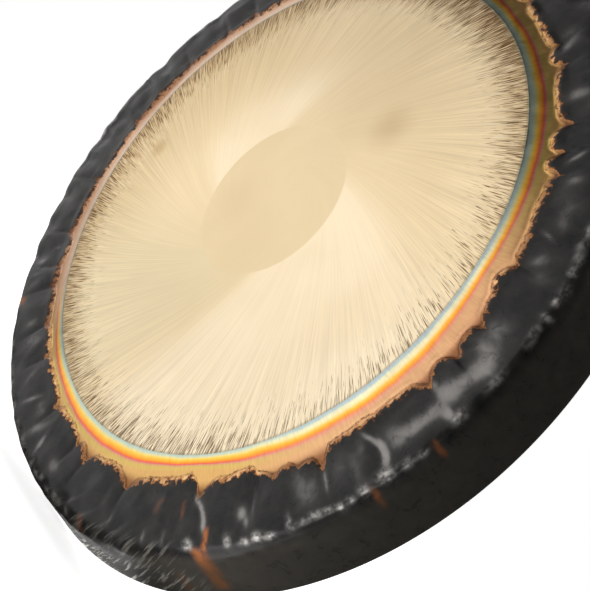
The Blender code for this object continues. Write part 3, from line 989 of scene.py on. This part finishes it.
    # painted highlight: light copper broken by amber patches, dimmed to brown on the far side
    painted_copper_highlight = g.mix(g.step(g.math("MULTIPLY_ADD", rag, 0.5, g.math("MULTIPLY", rag2, 0.5)), 0.42, 0.58), highlight_copper, amber)
    far_edge = g.step(far, 0.0, 0.5)
    painted_copper_highlight = g.mix(g.math("MULTIPLY", far_edge, 0.8), painted_copper_highlight, (*linear(128, 92, 68)[:3],))
    colour = g.mix(g.math("MULTIPLY", crease, g.span(patch2, 0.0, 1.0, 0.2, 0.85)), band, rust)
    colour = g.mix(g.math("MULTIPLY", g.step(e, -0.3, 0.6), g.math("SUBTRACT", 0.9, g.math("MULTIPLY", deep, 0.72))), colour, painted_copper_highlight)
    colour = g.mix(g.math("MULTIPLY", g.math("MULTIPLY", g.step(e, -4.0, -0.4), deep), 0.6), colour, rust)
    wide = g.span(patch, 0.38, 0.62, 0.2, 5.2)
    reach = g.math("SUBTRACT", e, wide)
    colour = g.mix(g.step(reach, -2.4, -0.2), colour, g.mix(far_edge, amber, rust))
    colour = g.mix(g.step(reach, -1.2, 0.8), colour, rust)
    skin_mask = g.step(reach, -0.8, 2.4)
    # painted sheen and highlight spots: grey patches and brighter dots that stand in for the skin's satin highlights,
    # where the skin is also rubbed partly to metal
    painted_sheen_and_rub = g.math("MULTIPLY", g.attribute("painted_sheen_and_rub"), g.span(cloud, 0.30, 0.70, 0.65, 1.25))
    painted_sheen_and_rub = g.math("MULTIPLY_ADD", g.step(painted_sheen_and_rub, 0.18, 0.85), 0.45, g.math("MULTIPLY", painted_sheen_and_rub, 0.42))
    painted_sheen_and_rub = g.math("MULTIPLY", painted_sheen_and_rub, skin_mask, clamp=True)
    chips = g.step(polar_noise(66.0, 0.26, 2.0, 0.5, 51.0), 0.34, 0.62)
    glint_and_wear_spots = g.math("MULTIPLY", g.attribute("glint_and_wear_spots"), g.span(chips, 0.0, 1.0, 0.25, 1.1))
    glint_and_wear_spots = g.math("MULTIPLY", glint_and_wear_spots, skin_mask, clamp=True)
    black = g.mix(painted_sheen_and_rub, black, (0.300, 0.286, 0.272))
    black = g.mix(glint_and_wear_spots, black, (0.520, 0.500, 0.470))
    colour = g.mix(skin_mask, colour, black)

    # rust that runs over the skin
    def run(at, width, low, high, strength, seed):
        off = g.math("SUBTRACT", angle, math.radians(at - VIEW_SHIFT))
        bend = g.math("MULTIPLY_ADD", g.math("SUBTRACT", polar_noise(14.0, 0.06, 2.0, 0.5, seed), 0.5), 0.03, off)
        thin = g.math("SUBTRACT", 1.0, g.step(g.math("ABSOLUTE", bend), 0.0, math.radians(width)))
        reach = g.math("MULTIPLY", g.step(along, low, low + 6.0), g.math("SUBTRACT", 1.0, g.step(along, high, high + 8.0)))
        broken = g.step(polar_noise(46.0, 0.10, 3.0, 0.6, seed + 2.0), 0.26, 0.50)
        return g.math("MULTIPLY", g.math("MULTIPLY", thin, g.math("MULTIPLY", reach, broken)), strength)

    marks = [
        run(-44.8, 0.9, 52.0, 66.0, 1.0, 21.0),
        run(-45.8, 2.1, 65.0, 102.0, 0.95, 22.0),
        run(-52.0, 1.5, 88.0, 118.0, 0.40, 23.0),
        run(-18.0, 0.8, 66.0, 80.0, 0.5, 24.0),
        run(-8.2, 0.8, 64.0, 76.0, 0.6, 27.0),
        run(-50.0, 0.8, 31.0, 42.0, 0.26, 30.0),
        run(-55.5, 1.2, 30.0, 40.0, 0.18, 31.0),
        run(-71.0, 1.4, 60.0, 100.0, 0.30, 33.0),
        run(38.0, 1.5, 50.0, 96.0, 0.6, 36.0),
        run(112.0, 1.6, 40.0, 110.0, 0.6, 39.0),
        run(-128.0, 1.6, 56.0, 114.0, 0.7, 42.0),
    ]
    rusty = marks[0]
    for mark in marks[1:]:
        rusty = g.math("MAXIMUM", rusty, mark)
    rusty = g.math("MULTIPLY", rusty, skin_mask)
    stain = g.mix(g.step(along, 64.0, 92.0), (*linear(168, 98, 50)[:3],), (*linear(108, 68, 38)[:3],))
    colour = g.mix(g.math("MULTIPLY", rusty, 0.9), colour, stain)

    # bright diagonal scratches on the wall, low on the left: scratched metal, with their brightness partly a painted
    # reflection of the floor
    slant = g.math("MULTIPLY_ADD", along, 0.0046, angle)
    sc_v = g.vector(g.math("MULTIPLY", g.math("COSINE", slant), 70.0), g.math("MULTIPLY", g.math("SINE", slant), 70.0),
                    g.math("MULTIPLY", along, 0.05))
    scratch_and_painted_glare = g.step(g.noise(sc_v, 1.0, 3.0, 0.6), 0.50, 0.66)
    where = g.math("MULTIPLY", g.span(g.step(along, 84.0, 96.0), 0.0, 1.0, 0.35, 1.0), g.math("MULTIPLY", g.step(along, 60.0, 70.0), g.step(g.near(angle, -84.0, 36.0), 0.0, 0.5)))
    scratch_and_painted_glare = g.math("MULTIPLY", scratch_and_painted_glare, where)
    colour = g.mix(g.math("MULTIPLY", scratch_and_painted_glare, 0.85), colour, (*linear(188, 182, 170)[:3],))

    # inside of the rim: dull brown-black
    inside = g.step(inner, 0.4, 0.6)
    dull = g.mix(g.step(cloud, 0.4, 0.7), (*linear(44, 40, 36)[:3],), (*linear(86, 64, 44)[:3],))
    near_face = g.math("SUBTRACT", 1.0, g.step(g.math("MULTIPLY_ADD", g.math("SUBTRACT", rag2, 0.5), 14.0, along), 12.0, 26.0))
    dull = g.mix(near_face, dull, (*linear(126, 92, 58)[:3],))
    colour = g.mix(inside, colour, dull)

    # bare metal at the cut back edge
    lip = g.math("MULTIPLY", g.step(along, S_END * 1000 - 0.9, S_END * 1000 - 0.2), g.step(fine, 0.35, 0.6))
    colour = g.mix(g.math("MULTIPLY", lip, 0.55), colour, (*linear(150, 124, 92)[:3],))

    metal = g.math("SUBTRACT", 1.0, g.math("MULTIPLY", skin_mask, 0.97))
    metal = g.math("MULTIPLY_ADD", rusty, 0.12, metal, clamp=True)
    metal = g.math("MULTIPLY_ADD", painted_sheen_and_rub, 0.40, metal, clamp=True)
    metal = g.math("MULTIPLY_ADD", glint_and_wear_spots, 0.70, metal, clamp=True)
    metal = g.math("MULTIPLY_ADD", scratch_and_painted_glare, 0.60, metal, clamp=True)
    metal = g.math("MULTIPLY", metal, g.span(inside, 0.0, 1.0, 1.0, 0.5))
    rough = g.mix(skin_mask, (0.34, 0.34, 0.34), (0.30, 0.30, 0.30))
    rough = g.math("MULTIPLY_ADD", g.math("SUBTRACT", cloud, 0.5), 0.22, rough)
    rough = g.math("MULTIPLY_ADD", rusty, 0.18, rough)
    rough = g.math("MULTIPLY_ADD", g.math("MULTIPLY", where, g.math("SUBTRACT", 1.0, scratch_and_painted_glare)), 0.24, rough)
    rough = g.math("MULTIPLY_ADD", inside, 0.18, rough)

    height = g.math("MULTIPLY_ADD", fine, 0.20, g.math("MULTIPLY", cloud, 1.5))
    height = g.math("MULTIPLY", height, g.span(skin_mask, 0.0, 1.0, 0.15, 1.0))
    height = g.math("MULTIPLY_ADD", scratch_and_painted_glare, 3.5, height)
    normal = g.bump(height, 0.4, 0.00018)

    s = g.shader
    g.put(s.inputs["Base Color"], colour)
    g.put(s.inputs["Metallic"], metal)
    g.put(s.inputs["Roughness"], rough)
    s.inputs["IOR"].default_value = 1.28
    g.put(s.inputs["Normal"], normal)
    return g.material


def rubber_material():
    g = Graph("rubber_moulded")
    where = g.node("ShaderNodeTexCoord").outputs["Object"]
    dust = g.noise(where, 420.0, 4.0, 0.6)
    grain = g.noise(where, 2600.0, 2.0, 0.6)
    colour = g.mix(g.step(dust, 0.45, 0.75), (0.016, 0.016, 0.017), (0.050, 0.047, 0.043))
    g.put(g.shader.inputs["Base Color"], colour)
    g.put(g.shader.inputs["Roughness"], g.span(dust, 0.3, 0.7, 0.55, 0.78))
    height = g.math("MULTIPLY_ADD", grain, 0.4, dust)
    g.put(g.shader.inputs["Normal"], g.bump(height, 0.4, 0.00006))
    return g.material


# ---------------------------------------------------------------- build
face = make_face()
rim = make_rim()
grommets = [make_grommet("rubber_grommet_left", -1), make_grommet("rubber_grommet_right", 1)]

face.data.materials.append(bronze_material())
rim.data.materials.clear()
rim.data.materials.append(rim_material())
rubber = rubber_material()
for piece in grommets:
    piece.data.materials.append(rubber)

for piece in (face, rim, *grommets):
    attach(piece, "root")
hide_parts("gong_plate")
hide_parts("gong_plate")
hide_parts("grommet_left")
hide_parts("grommet_right")

# ---------------------------------------------------------------- camera, floor and light
LEAN, ROLL = 0.8643, 3.8644
FRONT_IN_VIEW = Vector((math.sin(LEAN) * math.cos(ROLL), -math.sin(LEAN) * math.sin(ROLL), math.cos(LEAN)))
UP_IN_VIEW = Vector((-math.sin(ROLL), -math.cos(ROLL), 0.0))
SIDE_IN_VIEW = (-FRONT_IN_VIEW).cross(UP_IN_VIEW)
turned_view = Matrix((SIDE_IN_VIEW, -FRONT_IN_VIEW, UP_IN_VIEW))
camera_data = bpy.data.cameras.new("camera")
camera_data.lens = 76.10
camera_data.sensor_width = 36.0
camera_data.sensor_fit = "AUTO"
camera_data.clip_start = 0.02
camera_data.clip_end = 60.0
camera = bpy.data.objects.new("camera", camera_data)
bpy.context.scene.collection.objects.link(camera)
camera.matrix_world = Matrix.Translation(FACE_CENTRE + Vector((0.7855, -0.5861, -0.0458))) @ turned_view.to_4x4()
bpy.context.scene.camera = camera

FLOOR_Z = FACE_CENTRE.z - RIM_R - 0.0012
floor_mesh = bpy.data.meshes.new("floor")
floor_mesh.from_pydata([(-6, -6, FLOOR_Z), (6, -6, FLOOR_Z), (6, 6, FLOOR_Z), (-6, 6, FLOOR_Z)], [], [(0, 1, 2, 3)])
floor = bpy.data.objects.new("floor", floor_mesh)
bpy.context.scene.collection.objects.link(floor)
pale = Graph("floor_pale")
dirt = pale.noise(pale.node("ShaderNodeTexCoord").outputs["Object"], 3.0, 3.0, 0.5)
pale.put(pale.shader.inputs["Base Color"], pale.mix(dirt, (0.88, 0.88, 0.88), (0.92, 0.92, 0.92)))
pale.shader.inputs["Roughness"].default_value = 0.9
pale.put(pale.shader.inputs["Emission Color"], (1.0, 1.0, 1.0))
pale.shader.inputs["Emission Strength"].default_value = 0.80
shade = pale.node("ShaderNodeBsdfDiffuse")
pale.put(shade.inputs["Color"], pale.mix(dirt, (0.20, 0.20, 0.20), (0.24, 0.24, 0.24)))
which = pale.node("ShaderNodeMixShader")
pale.put(which.inputs[0], pale.node("ShaderNodeLightPath").outputs["Is Camera Ray"])
pale.put(which.inputs[1], shade.outputs[0])
pale.put(which.inputs[2], pale.shader.outputs[0])
pale.put(pale.tree.nodes["Material Output"].inputs["Surface"], which.outputs[0])
floor_mesh.materials.append(pale.material)


def lamp(name, towards, distance, size_x, size_y, energy, colour, long_axis=None):
    """An area light in a direction from the face's centre, shining back at it."""
    data = bpy.data.lights.new(name, "AREA")
    data.shape = "RECTANGLE"
    data.size, data.size_y = size_x, size_y
    data.energy = energy
    data.color = colour
    obj = bpy.data.objects.new(name, data)
    bpy.context.scene.collection.objects.link(obj)
    back = Vector(towards).normalized()
    up = Vector(long_axis) if long_axis else Vector((0, 0, 1))
    up = (up - back * up.dot(back)).normalized()
    side = up.cross(back)
    obj.matrix_world = Matrix.Translation(FACE_CENTRE + back * distance) @ Matrix((side, up, back)).transposed().to_4x4()
    obj.visible_camera = False
    return obj


def radiance(level, size_x, size_y):
    """Energy of an area light of this size whose surface has this brightness."""
    return level * math.pi * size_x * size_y


def card(name, x, y, size_x, size_y, turn, level):
    """A bright card lying on the floor, given from the point under the face's centre."""
    data = bpy.data.lights.new(name, "AREA")
    data.shape = "RECTANGLE"
    data.size, data.size_y = size_x, size_y
    data.energy = radiance(level, size_x, size_y)
    obj = bpy.data.objects.new(name, data)
    bpy.context.scene.collection.objects.link(obj)
    place = Vector((FACE_CENTRE.x + x, FACE_CENTRE.y + y, FLOOR_Z + 0.004))
    obj.matrix_world = Matrix.Translation(place) @ Matrix.Rotation(math.radians(turn), 4, "Z") @ Matrix.Rotation(math.pi, 4, "X")
    obj.visible_camera = False
    return obj


# a broad soft fill on the left, which the face mirrors, a strip in it, boxes beside it and bright floor
lamp("softbox_left", (-0.82, -0.57, 0.10), 2.3, 2.4, 2.0, radiance(0.86, 2.4, 2.0), (1.0, 0.99, 0.985))
lamp("strip_left", (-0.80, -0.60, 0.05), 2.0, 0.34, 2.2, radiance(0.58, 0.34, 2.2), (1.0, 0.98, 0.95), (0.583, -0.751, 0.311))
lamp("softbox_front", (-0.19, -0.98, 0.08), 2.1, 1.05, 1.3, radiance(1.5, 1.05, 1.3), (1.0, 0.985, 0.97))
lamp("softbox_side", (-0.995, 0.09, 0.02), 2.2, 1.0, 1.7, radiance(0.9, 1.0, 1.7), (1.0, 0.99, 0.98))
lamp("softbox_back", (0.22, 0.90, 0.38), 2.2, 2.0, 1.3, radiance(2.4, 2.0, 1.3), (1.0, 0.99, 0.98))
card("card_band", 0.0, -0.46, 0.56, 0.86, 0.0, 1.10)
card("card_front", -0.10, -1.35, 0.80, 0.90, 0.0, 1.4)
card("card_left", -1.03, -0.82, 1.5, 1.5, 0.0, 0.97)
card("card_ridge", 0.50, -0.25, 0.80, 0.13, -36.0, 2.5)
card("card_back", -0.15, 0.14, 0.52, 0.22, 0.0, 1.0)
sky_data = bpy.data.lights.new("sky", "SUN")
sky_data.energy = 1.1
sky_data.angle = math.radians(75.0)
sky = bpy.data.objects.new("sky", sky_data)
bpy.context.scene.collection.objects.link(sky)

world = bpy.data.worlds.new("studio")
bpy.context.scene.world = world
world.use_nodes = True
nodes, links = world.node_tree.nodes, world.node_tree.links
nodes.clear()
seen = nodes.new("ShaderNodeBackground")
seen.inputs["Color"].default_value = (1.0, 1.0, 1.0, 1.0)
seen.inputs["Strength"].default_value = 1.0
dim = nodes.new("ShaderNodeBackground")
dim.inputs["Color"].default_value = (1.0, 1.0, 1.0, 1.0)
dim.inputs["Strength"].default_value = 0.05
path = nodes.new("ShaderNodeLightPath")
pick = nodes.new("ShaderNodeMixShader")
out = nodes.new("ShaderNodeOutputWorld")
links.new(path.outputs["Is Camera Ray"], pick.inputs[0])
links.new(dim.outputs[0], pick.inputs[1])
links.new(seen.outputs[0], pick.inputs[2])
links.new(pick.outputs[0], out.inputs["Surface"])

bpy.context.scene.view_settings.view_transform = "Standard"
bpy.context.scene.view_settings.look = "None"
